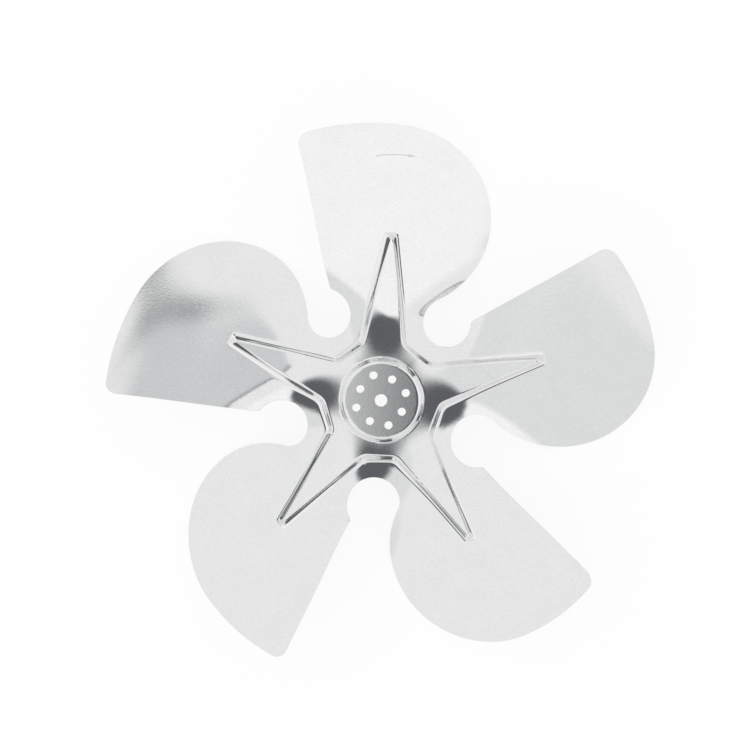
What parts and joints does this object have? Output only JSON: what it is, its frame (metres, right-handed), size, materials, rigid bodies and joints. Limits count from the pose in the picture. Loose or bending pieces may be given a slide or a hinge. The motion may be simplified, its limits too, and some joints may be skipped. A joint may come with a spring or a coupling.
{
  "type": "fan blade",
  "caption": "Axial fan impeller pressed from aluminium sheet: pitched, cambered blades with round leading lobes, a sunk star panel at their roots and a raised, drilled hub.",
  "frame": {"origin": "on the fan axis, at the flat top of the hub boss", "axes": "+Z along the fan axis, the way the air leaves; +Y along the middle of one blade's root"},
  "size_m": [0.2934, 0.2906, 0.0564],
  "materials": {
    "aluminium_sheet": "bright mill finish, with the fine grain of rolled sheet"
  },
  "bodies": {
    "root": {"fan_blade": "aluminium_sheet"}
  },
  "joints": []
}
